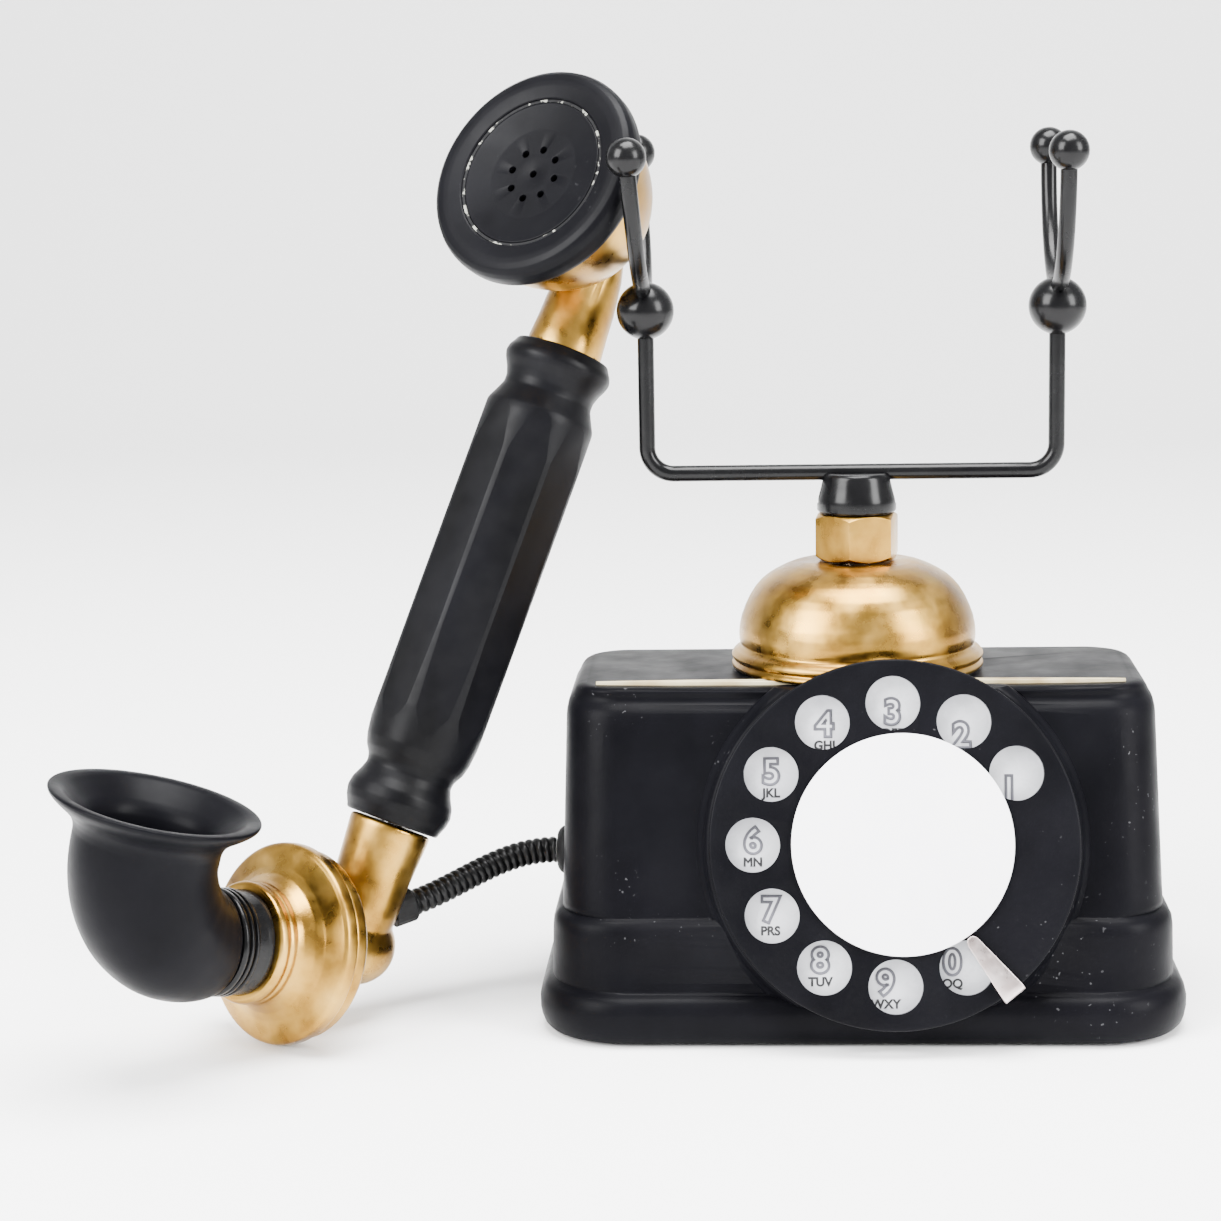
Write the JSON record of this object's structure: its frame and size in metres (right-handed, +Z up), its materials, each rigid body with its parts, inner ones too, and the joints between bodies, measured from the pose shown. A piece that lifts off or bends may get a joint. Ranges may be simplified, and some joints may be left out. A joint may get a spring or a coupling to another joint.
{
  "type": "french-style cradle telephone",
  "caption": "French-style cradle telephone: black body with a rotary dial, brass bell, U-shaped cradle with two forks, and a speaking-horn handset standing against its left fork.",
  "frame": {"origin": "centre of the felt pad's underside, on the table", "axes": "+Z up; -Y is the front, which the dial faces; +X to the right as seen from the front"},
  "size_m": [0.2439, 0.1394, 0.2128],
  "materials": {
    "black_paint": "satin black paint",
    "black_lacquer": "black lacquer",
    "black_enamel": "gloss black enamel",
    "rubber": "matt",
    "braid": "black armoured hose",
    "gilded_brass": "worn gold lacquer",
    "brass": "machined",
    "ivory_enamel": "ivory enamel",
    "card": "plain card",
    "steel": "plated",
    "spring_steel": "bright",
    "copper": "enamelled wire",
    "bakelite": "moulded",
    "felt": "green felt",
    "alloy": "drawn can"
  },
  "bodies": {
    "body": {"housing": "black_paint", "base_plate": "steel", "felt_pad": "felt", "base_screw_1": "steel", "base_screw_2": "steel", "base_screw_3": "steel", "base_screw_4": "steel", "top_trim": "gilded_brass", "cord_gland": "rubber", "dial_cup": "steel", "number_plate": "ivory_enamel", "finger_stop": "steel", "return_spring": "spring_steel", "pulse_contact_block": "bakelite", "pulse_contact_leaf": "spring_steel", "bell_gong": "gilded_brass", "bell_nut": "gilded_brass", "bell_post": "steel", "cradle_guide": "black_enamel", "hook_switch_bracket": "steel", "hook_switch_block": "bakelite", "hook_switch_leaf": "spring_steel", "ringer_frame": "steel", "ringer_coil_left": "copper", "ringer_coil_right": "copper", "terminal_block": "bakelite", "condenser": "alloy"},
    "dial": {"finger_wheel": "black_paint", "centre_label": "card", "dial_spindle": "steel", "dial_gear": "brass"},
    "governor": {"governor_pinion": "brass", "governor_weights": "brass"},
    "striker": {"armature": "steel", "striker_rod": "steel"},
    "cradle": {"cradle_frame": "black_enamel", "cradle_ball_left": "black_enamel", "cradle_ball_right": "black_enamel", "fork_left": "black_enamel", "fork_right": "black_enamel", "fork_tip_left_front": "black_enamel", "fork_tip_left_rear": "black_enamel", "fork_tip_right_front": "black_enamel", "fork_tip_right_rear": "black_enamel", "plunger_rod": "steel", "plunger_spring": "spring_steel"},
    "hook_lever": {"hook_switch_lever": "steel"},
    "handset": {"handle": "black_lacquer", "handle_rod": "steel", "receiver_shell": "gilded_brass", "receiver_capsule": "alloy", "ear_cap": "black_paint", "lower_yoke": "gilded_brass", "transmitter_case": "gilded_brass", "transmitter_front": "gilded_brass", "transmitter_capsule": "alloy", "horn_collar": "black_lacquer", "horn": "black_paint", "handset_cord_ferrule": "rubber", "handset_cord": "braid"}
  },
  "joints": [
    {"name": "dial_turn", "type": "hinge", "parent": "body", "child": "dial", "pos_m": [0.0068, -0.03404, 0.0435], "axis": [0, -0.9707, 0.2402], "range_deg": [-341, 0], "stiffness_Nm_per_rad": 0.004, "springref_deg": 171.89},
    {"name": "governor_spin", "type": "hinge", "parent": "body", "child": "governor", "pos_m": [-0.00896, -0.03185, 0.05233], "axis": [0, -0.9707, 0.2402], "range_deg": [-10, 1374]},
    {"name": "striker_swing", "type": "hinge", "parent": "body", "child": "striker", "pos_m": [0.028, 0.015, 0.034], "axis": [0, 1, 0], "range_deg": [-1.5, 1.5], "stiffness_Nm_per_rad": 0.2},
    {"name": "cradle_travel", "type": "slide", "parent": "body", "child": "cradle", "axis": [0, 0, 1], "range_m": [-0.005, 0], "stiffness_N_per_m": 300, "springref_m": 0.004, "deforming": ["plunger_spring"]},
    {"name": "hook_lever_turn", "type": "hinge", "parent": "body", "child": "hook_lever", "pos_m": [-0.014, 0, 0.0421], "axis": [0, 1, 0], "range_deg": [-0.5, 23]},
    {"name": "handset_lift", "type": "slide", "parent": "body", "child": "handset", "axis": [-0.5501, 0, 0.8351], "range_m": [0, 0.08]}
  ],
  "couplings": [
    {"joint": "governor_spin", "follows": "dial_turn", "ratio": -4},
    {"joint": "hook_lever_turn", "follows": "cradle_travel", "rad_per_m": -78.54}
  ]
}
